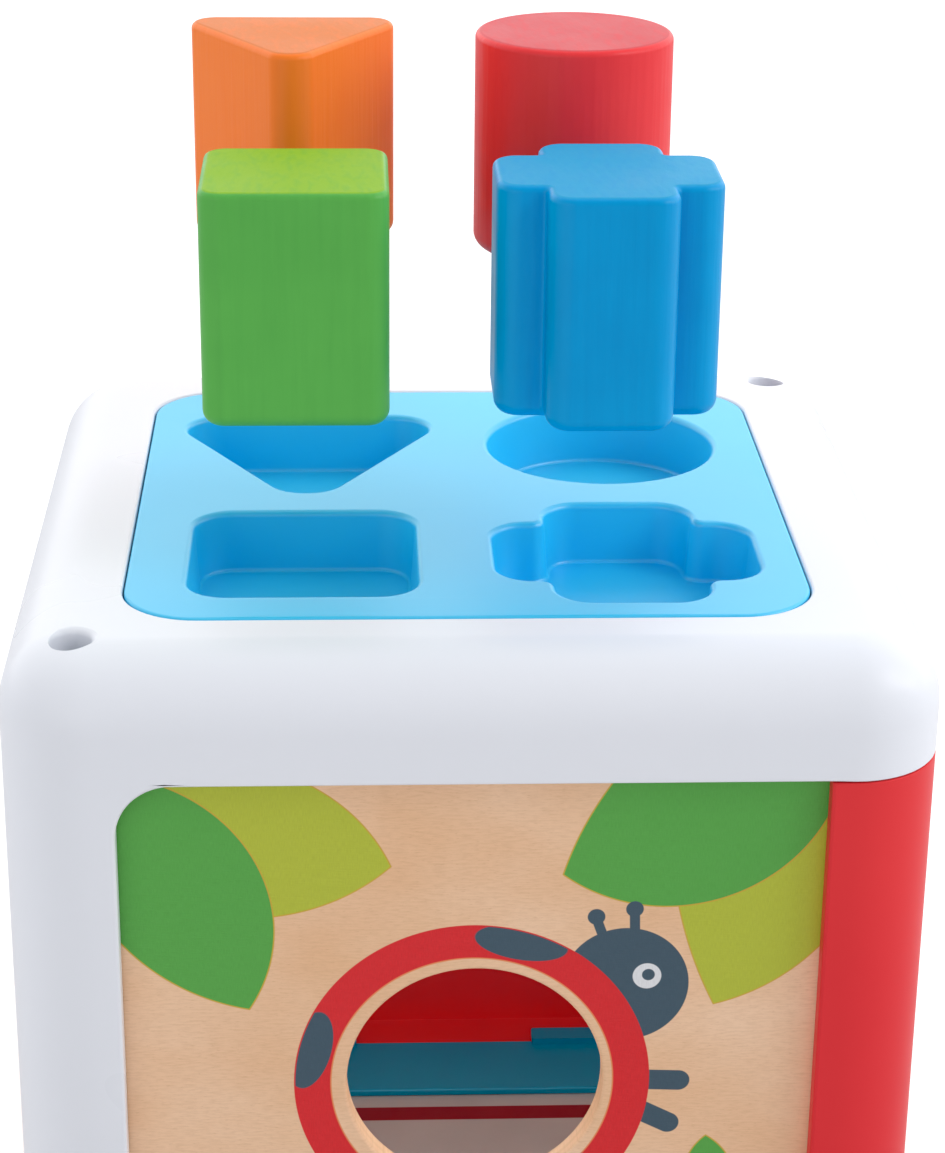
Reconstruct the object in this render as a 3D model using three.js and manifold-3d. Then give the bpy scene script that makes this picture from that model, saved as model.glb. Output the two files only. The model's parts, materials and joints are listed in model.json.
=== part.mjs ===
// A toddler's shape sorter: a cube of two moulded half frames, four plywood sides, a tray with four pockets
// in its top, and four wooden blocks that drop into the pockets.
// Units are millimetres. The origin is the centre of the base, +Z is up, and the front faces -Y.
import * as THREE from "three";
import { mergeVertices } from "three/addons/utils/BufferGeometryUtils.js";
import Module from "manifold-3d";

const wasm = await Module();
wasm.setup();

// Driving dimensions of the cube
const CUBE = 200;
const WINDOW = 150; // width of the window in each side, and of the opening in the top and the base
const CAP_HEIGHT = 27.5; // from the top of the cube to the top of the windows
const WALL = 4; // thickness of the frame mouldings
const CORNER_RADIUS = 20; // upright edges
const EDGE_RADIUS = 16; // edges round the top and the base
const OPENING_RADIUS = 17; // corners of the opening in the top and the base
const WINDOW_RADIUS = 12; // the one rounded corner of each window
const GAP = 0.3; // clearance between pieces that touch
const RIB = 2;
const GUSSET_OFFSET = 40; // from the middle of a side to its gussets

// Plywood sides
const PANEL_THICKNESS = 6;
const PANEL_SIDE_GRIP = 4.5; // how far a panel reaches behind the columns
const PANEL_END_GRIP = 6; // how far it reaches up into the cap and down into the base
const HOLE_RADIUS = 28;
const HOLE_HEIGHT = 98.4; // the middle of the hole
const HOLE_X = 0.9; // it is drilled a little to the right
const HOLE_CHAMFER = 0.8;

// Screws that join the two half frames
const WELL_OFFSET = 84; // from the middle of the cube to a well, along X and along Y
const WELL_RADIUS = 4.5;
const WELL_RIM = 1;
const WELL_SEAT = 38; // height of the seat at the bottom of a well
const TUBE_RADIUS = 6; // tube round a well
const FRAME_SCREW = { shank: 1.75, head: 3.8, headHeight: 2.8, length: 26 };
const FRAME_PILOT_DEPTH = 17.5;

// Trays in the top and base openings
const TRAY_THICKNESS = 4.5;
const FLANGE_THICKNESS = 2;
const FLANGE_HALF = 79; // half width of the flange that sits behind the edge of the opening
const FLANGE_INNER_HALF = 73;
const FLANGE_RADIUS = 21;
const FLANGE_NOTCH = 50; // width of the break in the middle of each side of the flange
const POST_X = 55;
const POST_Y = 79;
const POST_RADIUS = 2.75;
const EAR_RADIUS = 5.5; // the flange widens round each post
const TRAY_SCREW = { shank: 1.2, head: 4, headHeight: 2, length: 4.2 };
const TRAY_HOLE_END = 2; // wall left over the end of a tray screw hole

// Pockets. The triangle is sized by its inscribed circle, the others by half their width.
const POCKET_DEPTH = 14.5;
const POCKET_WALL = 2.2;
const POCKET_X = 36;
const FRONT_POCKET_Y = -37;
const BACK_POCKET_Y = 34.5;
const SQUARE_POCKET = { half: 25.25, radius: 9 };
const CROSS_POCKET = { half: 29.5, arm: 17, radius: 8.5, notch: 3 };
const ROUND_POCKET = { radius: 27.75 };
const TRIANGLE_POCKET = { inner: 21, radius: 8.8 };

// Blocks, sized as the pockets are
const BLOCK_HEIGHT = 51.5;
const BLOCK_EDGE = 2.4;
const SQUARE_BLOCK = { half: 20, radius: 5 };
const CROSS_BLOCK = { half: 24.25, arm: 13.75, radius: 5.5, notch: 1 };
const ROUND_BLOCK = { radius: 23.25 };
const TRIANGLE_BLOCK = { inner: 16.3, radius: 6 };

// Where each block is held at rest: its middle, and how far its foot is over the top of the cube
const SQUARE_PLACE = [-37, FRONT_POCKET_Y, 36];
const CROSS_PLACE = [29.8, FRONT_POCKET_Y, 36];
const ROUND_PLACE = [27.5, BACK_POCKET_Y, 51];
const TRIANGLE_PLACE = [-38.6, BACK_POCKET_Y, 51];

// Floor of the cube
const FLOOR_OPENING = 100;
const FLOOR_LIP = 4; // how far the floor panel rests on the edge of that opening
const FLOOR_CORNER = 4;
const FLOOR_THICKNESS = 2;
const BASE_TRAY_RECESS = 0.4;

const HALF = CUBE / 2;
const WINDOW_HALF = WINDOW / 2;
const SEAM = GAP / 2; // each half frame stops this far from the joint line
const CAP_BOTTOM = CUBE - CAP_HEIGHT + SEAM;
const COLUMN_BOTTOM = CAP_HEIGHT + SEAM;
const CAP_ROOF = CUBE - WALL; // underside of the top wall
const PANEL_FACE = HALF - WALL - GAP;
const PANEL_BACK = PANEL_FACE - PANEL_THICKNESS;
const RIB_OUTER = PANEL_BACK - GAP;
const RIB_INNER = RIB_OUTER - RIB;
const PANEL_HALF_WIDTH = WINDOW_HALF + PANEL_SIDE_GRIP;
const PANEL_HEIGHT = CUBE - 2 * (CAP_HEIGHT - PANEL_END_GRIP);
const FUSE = 0.5; // how far joined shapes run into one another

// Fineness of the curves, in segments a corner unless it says otherwise
const CURVE = { plain: 3, cross: 2, circle: 5, block: 4, frame: 4 };
const BEVEL_SEGMENTS = { frame: 5, block: 3 };
const AROUND = { post: 12, screw: 16, well: 20, web: 32, hole: 48 }; // segments a full turn

const WHITE = new THREE.MeshStandardMaterial({ color: "#e6eaf1", roughness: 0.28, metalness: 0 });
const RED = new THREE.MeshStandardMaterial({ color: "#cc2f33", roughness: 0.32, metalness: 0 });
const SKY_BLUE = new THREE.MeshStandardMaterial({ color: "#86c9f2", roughness: 0.42, metalness: 0 });
const DEEP_BLUE = new THREE.MeshStandardMaterial({ color: "#1a7fa8", roughness: 0.4, metalness: 0 });
const PLYWOOD = new THREE.MeshStandardMaterial({ color: "#dcb894", roughness: 0.6, metalness: 0 });
const PAINTED_BOARD = new THREE.MeshStandardMaterial({ color: "#d9dade", roughness: 0.5, metalness: 0 });
const GREEN_PAINT = new THREE.MeshStandardMaterial({ color: "#57a83c", roughness: 0.45, metalness: 0 });
const BLUE_PAINT = new THREE.MeshStandardMaterial({ color: "#1289c9", roughness: 0.45, metalness: 0 });
const RED_PAINT = new THREE.MeshStandardMaterial({ color: "#cd3344", roughness: 0.45, metalness: 0 });
const ORANGE_PAINT = new THREE.MeshStandardMaterial({ color: "#f07f30", roughness: 0.45, metalness: 0 });
const STEEL = new THREE.MeshStandardMaterial({ color: "#b4b7bb", roughness: 0.35, metalness: 1 });

// ---- Solids ----

function toSolid(geometry) {
  const bare = geometry.clone();
  bare.deleteAttribute("normal");
  bare.deleteAttribute("uv");
  const merged = mergeVertices(bare, 1e-4);
  const mesh = new wasm.Mesh({
    numProp: 3,
    vertProperties: merged.attributes.position.array,
    triVerts: new Uint32Array(merged.index.array),
  });
  return new wasm.Manifold(mesh);
}

function toGeometry(solid) {
  const mesh = solid.getMesh();
  const geometry = new THREE.BufferGeometry();
  geometry.setAttribute("position", new THREE.BufferAttribute(mesh.vertProperties, 3));
  geometry.setIndex(new THREE.BufferAttribute(mesh.triVerts, 1));
  return geometry;
}

function joinAll(solids) {
  return solids.reduce((joined, solid) => joined.add(solid));
}

function cutAll(solid, cutters) {
  return cutters.reduce((left, cutter) => left.subtract(cutter), solid);
}

function box(x0, x1, y0, y1, z0, z1) {
  const geometry = new THREE.BoxGeometry(x1 - x0, y1 - y0, z1 - z0);
  geometry.translate((x0 + x1) / 2, (y0 + y1) / 2, (z0 + z1) / 2);
  return toSolid(geometry);
}

function prism(shape, z0, z1, curveSegments = CURVE.plain) {
  const geometry = new THREE.ExtrudeGeometry(shape, { depth: z1 - z0, bevelEnabled: false, curveSegments });
  geometry.translate(0, 0, z0);
  return toSolid(geometry);
}

// A solid of revolution about an upright axis through (x, y). The profile holds [radius, height] pairs, from
// the lowest point on the axis to the highest.
function turned(profile, x, y, segments = AROUND.well) {
  const points = profile.map(([radius, height]) => new THREE.Vector2(radius, height));
  const geometry = new THREE.LatheGeometry(points, segments);
  geometry.rotateX(Math.PI / 2);
  geometry.translate(x, y, 0);
  return toSolid(geometry);
}

function rod(x, y, radius, z0, z1, segments = AROUND.well) {
  return turned([[0, z0], [radius, z0], [radius, z1], [0, z1]], x, y, segments);
}

// ---- Outlines ----

// A closed outline through corner points in counter-clockwise order, each rounded with its own radius.
function roundedOutline(corners) {
  const shape = new THREE.Shape();
  corners.forEach(([x, y, radius], i) => {
    const here = new THREE.Vector2(x, y);
    const [beforeX, beforeY] = corners[(i + corners.length - 1) % corners.length];
    const [afterX, afterY] = corners[(i + 1) % corners.length];
    const back = new THREE.Vector2(beforeX, beforeY).sub(here).normalize();
    const on = new THREE.Vector2(afterX, afterY).sub(here).normalize();
    const halfAngle = Math.acos(back.dot(on)) / 2;
    const middle = back.clone().add(on).normalize();
    const centre = here.clone().addScaledVector(middle, radius / Math.sin(halfAngle));
    const reach = radius / Math.tan(halfAngle);
    const first = here.clone().addScaledVector(back, reach).sub(centre);
    const last = here.clone().addScaledVector(on, reach).sub(centre);
    const clockwise = first.cross(last) < 0;
    shape.absarc(centre.x, centre.y, radius, first.angle(), last.angle(), clockwise);
  });
  shape.closePath();
  return shape;
}

function squareOutline({ half, radius }, x = 0, y = 0) {
  return roundedOutline([
    [x - half, y - half, radius],
    [x + half, y - half, radius],
    [x + half, y + half, radius],
    [x - half, y + half, radius],
  ]);
}

function circleOutline({ radius }, x = 0, y = 0) {
  return squareOutline({ half: radius, radius }, x, y);
}

// An equal-sided triangle with its point to the front, sized by its inscribed circle.
function triangleOutline({ inner, radius }, x = 0, y = 0) {
  const reach = inner * Math.sqrt(3);
  return roundedOutline([
    [x, y - 2 * inner, radius],
    [x + reach, y + inner, radius],
    [x - reach, y + inner, radius],
  ]);
}

function crossOutline({ half, arm, radius, notch }, x = 0, y = 0) {
  return roundedOutline([
    [x - arm, y - half, radius],
    [x + arm, y - half, radius],
    [x + arm, y - arm, notch],
    [x + half, y - arm, radius],
    [x + half, y + arm, radius],
    [x + arm, y + arm, notch],
    [x + arm, y + half, radius],
    [x - arm, y + half, radius],
    [x - arm, y + arm, notch],
    [x - half, y + arm, radius],
    [x - half, y - arm, radius],
    [x - arm, y - arm, notch],
  ]);
}

// ---- Half frames ----

// The cube's rounded outside, or its inside when every size is smaller by the wall.
function envelope(half, cornerRadius, edgeRadius, top) {
  const straight = top - 2 * edgeRadius + HALF;
  const geometry = new THREE.ExtrudeGeometry(squareOutline({ half, radius: cornerRadius }), {
    depth: straight,
    bevelThickness: edgeRadius,
    bevelSize: edgeRadius,
    bevelOffset: -edgeRadius,
    bevelSegments: BEVEL_SEGMENTS.frame,
    curveSegments: CURVE.frame,
  });
  geometry.translate(0, 0, top - edgeRadius - straight);
  return toSolid(geometry);
}

// What stands in a corner, behind the outer walls: a tube for the screw, two stops for the panel edges and
// two ribs that hold the panels from behind. sx and sy say which corner.
function cornerCore(sx, sy) {
  const at = (u0, u1, v0, v1) => {
    const [x0, x1] = [sx * u0, sx * u1].sort((a, b) => a - b);
    const [y0, y1] = [sy * v0, sy * v1].sort((a, b) => a - b);
    return box(x0, x1, y0, y1, 0, CUBE);
  };
  const stop = PANEL_HALF_WIDTH + GAP;
  return joinAll([
    rod(sx * WELL_OFFSET, sy * WELL_OFFSET, TUBE_RADIUS, 0, CUBE),
    at(stop, stop + RIB, WELL_OFFSET, HALF),
    at(WELL_OFFSET, HALF, stop, stop + RIB),
    at(WINDOW_HALF - 1, WELL_OFFSET, RIB_INNER, RIB_OUTER),
    at(RIB_INNER, RIB_OUTER, WINDOW_HALF - 1, WELL_OFFSET),
  ]);
}

// The upright rib inside the cap, behind the tops of the four panels.
function capRib() {
  const outer = box(-RIB_OUTER, RIB_OUTER, -RIB_OUTER, RIB_OUTER, CAP_HEIGHT, CUBE);
  const inner = box(-RIB_INNER, RIB_INNER, -RIB_INNER, RIB_INNER, 0, CUBE + 1);
  return outer.subtract(inner);
}

// Thin gussets between the rib and the outer wall, which stop the panels from rising.
function gussets() {
  const bottom = CUBE - CAP_HEIGHT + PANEL_END_GRIP + GAP;
  const middle = (RIB_INNER + RIB_OUTER) / 2;
  const made = [];
  for (const side of [-1, 1]) {
    const [near, far] = [side * middle, side * HALF].sort((a, b) => a - b);
    for (const place of [-GUSSET_OFFSET, GUSSET_OFFSET]) {
      made.push(box(place - RIB / 2, place + RIB / 2, near, far, bottom, CUBE));
      made.push(box(near, far, place - RIB / 2, place + RIB / 2, bottom, CUBE));
    }
  }
  return made;
}

// The web that stays in a window corner between a column and the cap. It fills the corner of the window and
// is cut round by a cylinder. sx and sy say which column, and onFront says which of its two faces.
function windowWeb(sx, sy, onFront) {
  const across = (sign) => [sign * (WINDOW_HALF + 1), sign * (WINDOW_HALF - WINDOW_RADIUS)];
  const through = (sign) => [sign * (PANEL_FACE + GAP / 2), sign * (HALF + 2)];
  const ordered = (pair) => pair.sort((a, b) => a - b);
  const [x0, x1] = ordered(onFront ? across(sx) : through(sx));
  const [y0, y1] = ordered(onFront ? through(sy) : across(sy));
  const bottom = CAP_BOTTOM - WINDOW_RADIUS;
  const centre = WINDOW_HALF - WINDOW_RADIUS;
  const round = new THREE.CylinderGeometry(WINDOW_RADIUS, WINDOW_RADIUS, 4 * WALL, AROUND.web);
  if (onFront) {
    round.translate(sx * centre, sy * HALF, bottom);
  } else {
    round.rotateZ(Math.PI / 2);
    round.translate(sx * HALF, sy * centre, bottom);
  }
  return box(x0, x1, y0, y1, bottom, CAP_BOTTOM + 1).subtract(toSolid(round));
}

// All that is cut away under the cap, so that only the front-left and back-right columns stay.
function windowCutter() {
  const past = HALF + 1;
  const boxes = box(-WINDOW_HALF, past, -past, WINDOW_HALF, -past, CAP_BOTTOM).add(
    box(-past, WINDOW_HALF, -WINDOW_HALF, past, -past, CAP_BOTTOM),
  );
  const webs = [-1, 1].flatMap((side) => [windowWeb(side, side, true), windowWeb(side, side, false)]);
  return cutAll(boxes, webs);
}

// The well goes down from the top to a seat near the other half frame, and a smaller hole goes on.
function wellCutter(sx, sy) {
  const hole = FRAME_SCREW.shank + GAP;
  return turned(
    [
      [0, COLUMN_BOTTOM - 1],
      [hole, COLUMN_BOTTOM - 1],
      [hole, WELL_SEAT],
      [WELL_RADIUS, WELL_SEAT],
      [WELL_RADIUS, CUBE - WELL_RIM],
      [WELL_RADIUS + WELL_RIM + FUSE, CUBE + FUSE],
      [0, CUBE + FUSE],
    ],
    sx * WELL_OFFSET,
    sy * WELL_OFFSET,
  );
}

function pilotCutter(sx, sy) {
  const hole = FRAME_SCREW.shank + GAP;
  const x = sx * WELL_OFFSET;
  const y = sy * WELL_OFFSET;
  return rod(x, y, hole, CAP_BOTTOM - 1, CAP_BOTTOM + FRAME_PILOT_DEPTH);
}

function postPlaces() {
  return [
    [-POST_X, -POST_Y],
    [POST_X, -POST_Y],
    [-POST_X, POST_Y],
    [POST_X, POST_Y],
  ];
}

// The cap with its two columns, at the front left and the back right. Both half frames have this shape.
function halfFrame() {
  const outer = envelope(HALF, CORNER_RADIUS, EDGE_RADIUS, CUBE);
  const inner = envelope(HALF - WALL, CORNER_RADIUS - WALL, EDGE_RADIUS - WALL, CAP_ROOF);
  const halfWall = WALL / 2;
  const middle = envelope(HALF - halfWall, CORNER_RADIUS - halfWall, EDGE_RADIUS - halfWall, CUBE - halfWall);
  const corners = [[-1, -1], [1, -1], [1, 1], [-1, 1]].map(([sx, sy]) => cornerCore(sx, sy));
  const cores = joinAll([...corners, capRib(), ...gussets()]).intersect(middle);
  const posts = postPlaces().map(([x, y]) =>
    rod(x, y, POST_RADIUS, CAP_ROOF - FLANGE_THICKNESS, CAP_ROOF + FUSE, AROUND.post));
  const postHoles = postPlaces().map(([x, y]) =>
    rod(x, y, TRAY_SCREW.shank + GAP, CAP_ROOF - FLANGE_THICKNESS - 1, CUBE - TRAY_HOLE_END, AROUND.post));
  const past = HALF + 1;
  return cutAll(joinAll([outer.subtract(inner), cores, ...posts]), [
    windowCutter(),
    box(-past, past, -past, past, -past, COLUMN_BOTTOM),
    prism(squareOutline({ half: WINDOW_HALF, radius: OPENING_RADIUS }), CAP_ROOF - 1, CUBE + 1),
    wellCutter(-1, -1),
    wellCutter(1, 1),
    pilotCutter(1, -1),
    pilotCutter(-1, 1),
    ...postHoles,
  ]);
}

// ---- Screws ----

// A pan-head screw, head up, with the underside of its head at the given height. Its tip is a cone twice as
// long as its radius, and its head narrows above the shoulder.
function screw({ shank, head, headHeight, length }, x, y, height) {
  const tip = height - length;
  const shoulder = 0.6;
  return turned(
    [
      [0, tip],
      [shank, tip + 2 * shank],
      [shank, height],
      [head, height],
      [head, height + shoulder * headHeight],
      [shoulder * head, height + headHeight],
      [0, height + headHeight],
    ],
    x,
    y,
    AROUND.screw,
  );
}

// ---- Trays ----

// The tray plate, which fills the opening flush with the top, with a flange behind the opening's edge that
// is broken in the middle of each side.
function trayBlank(top) {
  const flangeTop = CAP_ROOF - GAP;
  const flangeBottom = flangeTop - FLANGE_THICKNESS;
  const notch = FLANGE_NOTCH / 2;
  const plateOutline = squareOutline({ half: WINDOW_HALF - GAP, radius: OPENING_RADIUS - GAP });
  const flangeOutline = squareOutline({ half: FLANGE_HALF, radius: FLANGE_RADIUS });
  const innerOutline = squareOutline({ half: FLANGE_INNER_HALF, radius: OPENING_RADIUS });
  const plate = prism(plateOutline, CUBE - TRAY_THICKNESS, top);
  const ears = postPlaces().map(([x, y]) => rod(x, y, EAR_RADIUS, flangeBottom, flangeTop));
  const flange = cutAll(joinAll([prism(flangeOutline, flangeBottom, flangeTop), ...ears]), [
    prism(innerOutline, flangeBottom - 1, CUBE),
    box(-notch, notch, -HALF, HALF, flangeBottom - 1, CUBE),
    box(-HALF, HALF, -notch, notch, flangeBottom - 1, CUBE),
    ...postPlaces().map(([x, y]) => rod(x, y, POST_RADIUS + GAP, flangeBottom - 1, CUBE, AROUND.post)),
  ]);
  return plate.add(flange);
}

// The outlines of the four pockets, larger all round by the given amount, each with the fineness of its
// curves.
function pocketOutlines(grow) {
  const grown = (sizes) => {
    const entries = Object.entries(sizes);
    return Object.fromEntries(entries.map(([name, size]) => [name, name === "notch" ? size - grow : size + grow]));
  };
  return [
    [squareOutline(grown(SQUARE_POCKET), -POCKET_X, FRONT_POCKET_Y), CURVE.plain],
    [crossOutline(grown(CROSS_POCKET), POCKET_X, FRONT_POCKET_Y), CURVE.cross],
    [circleOutline(grown(ROUND_POCKET), POCKET_X, BACK_POCKET_Y), CURVE.circle],
    [triangleOutline(grown(TRIANGLE_POCKET), -POCKET_X, BACK_POCKET_Y), CURVE.plain],
  ];
}

function sorterTray() {
  const floor = CUBE - POCKET_DEPTH;
  const blank = trayBlank(CUBE);
  const cups = pocketOutlines(POCKET_WALL).map(([outline, fineness]) =>
    prism(outline, floor - POCKET_WALL, CUBE - FUSE, fineness));
  const pockets = pocketOutlines(0).map(([outline, fineness]) => prism(outline, floor, CUBE + 1, fineness));
  return cutAll(joinAll([blank, ...cups]), pockets);
}

function baseTray() {
  const lip = FLOOR_OPENING / 2;
  const seat = CUBE - BASE_TRAY_RECESS - FLOOR_THICKNESS - GAP;
  return cutAll(trayBlank(CUBE - BASE_TRAY_RECESS), [
    prism(squareOutline({ half: lip, radius: FLOOR_CORNER }), CUBE - 2 * TRAY_THICKNESS, CUBE + 1),
    prism(squareOutline({ half: lip + FLOOR_LIP, radius: FLOOR_CORNER }), seat, CUBE + 1),
  ]);
}

function floorPanel() {
  const top = CUBE - BASE_TRAY_RECESS;
  const outline = squareOutline({ half: FLOOR_OPENING / 2 + FLOOR_LIP - GAP, radius: FLOOR_CORNER - GAP });
  return prism(outline, top - FLOOR_THICKNESS, top);
}

// ---- Plywood sides ----

function sidePanel() {
  const bottom = (CUBE - PANEL_HEIGHT) / 2;
  const width = PANEL_HALF_WIDTH;
  return box(-width, width, -PANEL_FACE, -PANEL_BACK, bottom, bottom + PANEL_HEIGHT);
}

// The front side has a round hole with a chamfered edge in its middle.
function frontPanel() {
  const cutter = new THREE.LatheGeometry(
    [
      [0, -PANEL_THICKNESS - 1],
      [HOLE_RADIUS, -PANEL_THICKNESS - 1],
      [HOLE_RADIUS, -HOLE_CHAMFER],
      [HOLE_RADIUS + HOLE_CHAMFER + FUSE, FUSE],
      [0, FUSE],
    ].map(([radius, height]) => new THREE.Vector2(radius, height)),
    AROUND.hole,
  );
  cutter.rotateX(Math.PI);
  cutter.translate(HOLE_X, -PANEL_FACE, HOLE_HEIGHT);
  return sidePanel().subtract(toSolid(cutter));
}

// ---- Blocks ----

function block(outline, curveSegments) {
  const geometry = new THREE.ExtrudeGeometry(outline, {
    depth: BLOCK_HEIGHT - 2 * BLOCK_EDGE,
    bevelThickness: BLOCK_EDGE,
    bevelSize: BLOCK_EDGE,
    bevelOffset: -BLOCK_EDGE,
    bevelSegments: BEVEL_SEGMENTS.block,
    curveSegments,
  });
  geometry.translate(0, 0, CUBE + BLOCK_EDGE);
  return toSolid(geometry);
}

// ---- Assembly ----

function named(name, solid, material) {
  const mesh = new THREE.Mesh(toGeometry(solid), material);
  mesh.name = name;
  return mesh;
}

const object = new THREE.Group();

// The upper half stands as modelled. The lower half is the same moulding turned over about the X axis, so
// its front is the back of the upper one.
const upper = new THREE.Group();
const lower = new THREE.Group();
lower.rotation.x = Math.PI;
lower.position.z = CUBE;
object.add(upper, lower);

const frameSolid = halfFrame();
upper.add(named("white_frame", frameSolid, WHITE));
lower.add(named("red_frame", frameSolid, RED));

function addScrews(group, trayName, frameNames, front, back) {
  const seat = WELL_SEAT + GAP;
  const traySeat = CAP_ROOF - FLANGE_THICKNESS - 2 * GAP;
  const [leftScrew, rightScrew] = frameNames;
  group.add(named(leftScrew, screw(FRAME_SCREW, -WELL_OFFSET, -WELL_OFFSET, seat), STEEL));
  group.add(named(rightScrew, screw(FRAME_SCREW, WELL_OFFSET, WELL_OFFSET, seat), STEEL));
  for (const [x, y] of postPlaces()) {
    const name = `${trayName}_screw_${y < 0 ? front : back}_${x < 0 ? "left" : "right"}`;
    // The tray screws are turned over: their heads are inside the cube.
    const mesh = named(name, screw(TRAY_SCREW, x, -y, -traySeat), STEEL);
    mesh.rotation.x = Math.PI;
    group.add(mesh);
  }
}

addScrews(upper, "sorter_tray", ["frame_screw_front_left", "frame_screw_back_right"], "front", "back");
addScrews(lower, "base_tray", ["frame_screw_back_left", "frame_screw_front_right"], "back", "front");

upper.add(named("sorter_tray", sorterTray(), SKY_BLUE));
lower.add(named("base_tray", baseTray(), DEEP_BLUE));
lower.add(named("floor_panel", floorPanel(), PAINTED_BOARD));

const sides = [
  ["front_panel", frontPanel(), 0],
  ["right_panel", sidePanel(), 1],
  ["back_panel", sidePanel(), 2],
  ["left_panel", sidePanel(), 3],
];
for (const [name, solid, quarterTurns] of sides) {
  const mesh = named(name, solid, PLYWOOD);
  mesh.rotation.z = (quarterTurns * Math.PI) / 2;
  object.add(mesh);
}

const blocks = [
  ["square_block", squareOutline(SQUARE_BLOCK), CURVE.plain, SQUARE_PLACE, GREEN_PAINT],
  ["cross_block", crossOutline(CROSS_BLOCK), CURVE.cross, CROSS_PLACE, BLUE_PAINT],
  ["round_block", circleOutline(ROUND_BLOCK), CURVE.circle, ROUND_PLACE, RED_PAINT],
  ["triangle_block", triangleOutline(TRIANGLE_BLOCK), CURVE.block, TRIANGLE_PLACE, ORANGE_PAINT],
];
for (const [name, outline, fineness, [x, y, lift], paint] of blocks) {
  const mesh = named(name, block(outline, fineness), paint);
  mesh.position.set(x, y, lift);
  object.add(mesh);
}

export default object;
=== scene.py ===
"""Looks of a toddler's shape sorter: a cube of two moulded half frames with four plywood sides, a tray with
four pockets in its top, and four painted wooden blocks over it. Shapes are made in millimetres, in the frame's
own axes, and each is scaled to metres as it is placed."""

import json
import math

import bmesh
import bpy
from mathutils import Matrix, Vector
from mathutils.geometry import tessellate_polygon


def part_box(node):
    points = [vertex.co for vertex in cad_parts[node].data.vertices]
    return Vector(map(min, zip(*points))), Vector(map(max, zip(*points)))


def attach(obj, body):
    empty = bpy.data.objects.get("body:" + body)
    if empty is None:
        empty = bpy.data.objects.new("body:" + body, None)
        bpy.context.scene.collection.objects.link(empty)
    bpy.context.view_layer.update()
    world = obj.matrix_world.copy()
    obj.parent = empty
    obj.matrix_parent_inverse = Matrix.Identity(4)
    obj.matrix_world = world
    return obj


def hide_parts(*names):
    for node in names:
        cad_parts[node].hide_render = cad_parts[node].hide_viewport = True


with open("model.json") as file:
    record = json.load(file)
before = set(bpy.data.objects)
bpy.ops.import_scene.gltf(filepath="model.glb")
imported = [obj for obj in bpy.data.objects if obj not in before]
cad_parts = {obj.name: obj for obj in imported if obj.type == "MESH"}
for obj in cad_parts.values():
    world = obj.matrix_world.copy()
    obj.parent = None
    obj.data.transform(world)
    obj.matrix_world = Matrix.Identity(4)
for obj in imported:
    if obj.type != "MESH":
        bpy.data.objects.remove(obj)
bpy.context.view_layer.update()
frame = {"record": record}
MM = 0.001


def box_mm(node):
    low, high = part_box(node)
    return low / MM, high / MM


def centre_mm(node):
    low, high = box_mm(node)
    return (low + high) / 2


def opening_centre_mm(name):
    openings = frame["record"]["physics"]["openings"]
    low, high = next(o["box_m"] for o in openings if o["name"] == name)
    return (Vector(low) + Vector(high)) / (2 * MM)


# ---- Sizes ----

GAP = 0.3
WHITE_LOW, WHITE_HIGH = box_mm("white_frame")
HALF = WHITE_HIGH.x  # half width of the cube
TOP = WHITE_HIGH.z
COLUMN_BOTTOM = WHITE_LOW.z
CAP_BOTTOM = box_mm("red_frame")[1].z + GAP
WINDOW_HALF = 75.0
WALL = 4.0
CORNER_RADIUS = 20.0
EDGE_RADIUS = 16.0
OPENING_RADIUS = 17.0
WINDOW_RADIUS = 12.0
OPENING_RIM = 0.9
ROOF = TOP - WALL
RIB = 2.0  # thickness of the ribs and stops inside
TUBE_RADIUS = 6.0  # round each frame screw
POST_RADIUS = 2.75  # the posts that the trays are screwed to
POST_HOLE_RADIUS = 1.5
FRAME_HOLE_RADIUS = 2.05
ARC_STEPS = 14

PANEL_LOW, PANEL_HIGH = box_mm("front_panel")
PANEL_FACE = -PANEL_LOW.y
PANEL_BACK = -PANEL_HIGH.y
HOLE = opening_centre_mm("front_hole")
HOLE_RADIUS = 28.0
HOLE_ROUNDING = 0.8
BARE_RADIUS = 30.7  # the wood is left unprinted this far from the middle of the print
BODY_RADIUS = 38.9  # of the ladybird
PRINT_SHIFT = 0.6  # the print is this far to the left of the hole

WELLS = [centre_mm("frame_screw_front_left"), centre_mm("frame_screw_back_right")]
PILOTS = [centre_mm("frame_screw_front_right"), centre_mm("frame_screw_back_left")]
POSTS = [centre_mm(f"sorter_tray_screw_{y}_{x}") for y in ("front", "back") for x in ("left", "right")]


# ---- Outlines: closed loops of (x, y), counter-clockwise ----

def rounded_outline(corners, steps):
    points = []
    for i, (x, y, radius) in enumerate(corners):
        here = Vector((x, y))
        back = (Vector(corners[i - 1][:2]) - here).normalized()
        ahead = (Vector(corners[(i + 1) % len(corners)][:2]) - here).normalized()
        half_angle = back.angle(ahead) / 2
        centre = here + (back + ahead).normalized() * (radius / math.sin(half_angle))
        reach = radius / math.tan(half_angle)
        first = here + back * reach - centre
        last = here + ahead * reach - centre
        start = math.atan2(first.y, first.x)
        turn = (math.atan2(last.y, last.x) - start + math.pi) % (2 * math.pi) - math.pi
        for k in range(steps + 1):
            angle = start + turn * k / steps
            points.append((centre.x + radius * math.cos(angle), centre.y + radius * math.sin(angle)))
    return points


def square(half, radius, x=0.0, y=0.0, steps=ARC_STEPS):
    corners = [(x - half, y - half, radius), (x + half, y - half, radius),
               (x + half, y + half, radius), (x - half, y + half, radius)]
    return rounded_outline(corners, steps)


def circle(radius, x, y, steps):
    turn = 2 * math.pi / steps
    return [(x + radius * math.cos(i * turn), y + radius * math.sin(i * turn)) for i in range(steps)]


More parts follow.
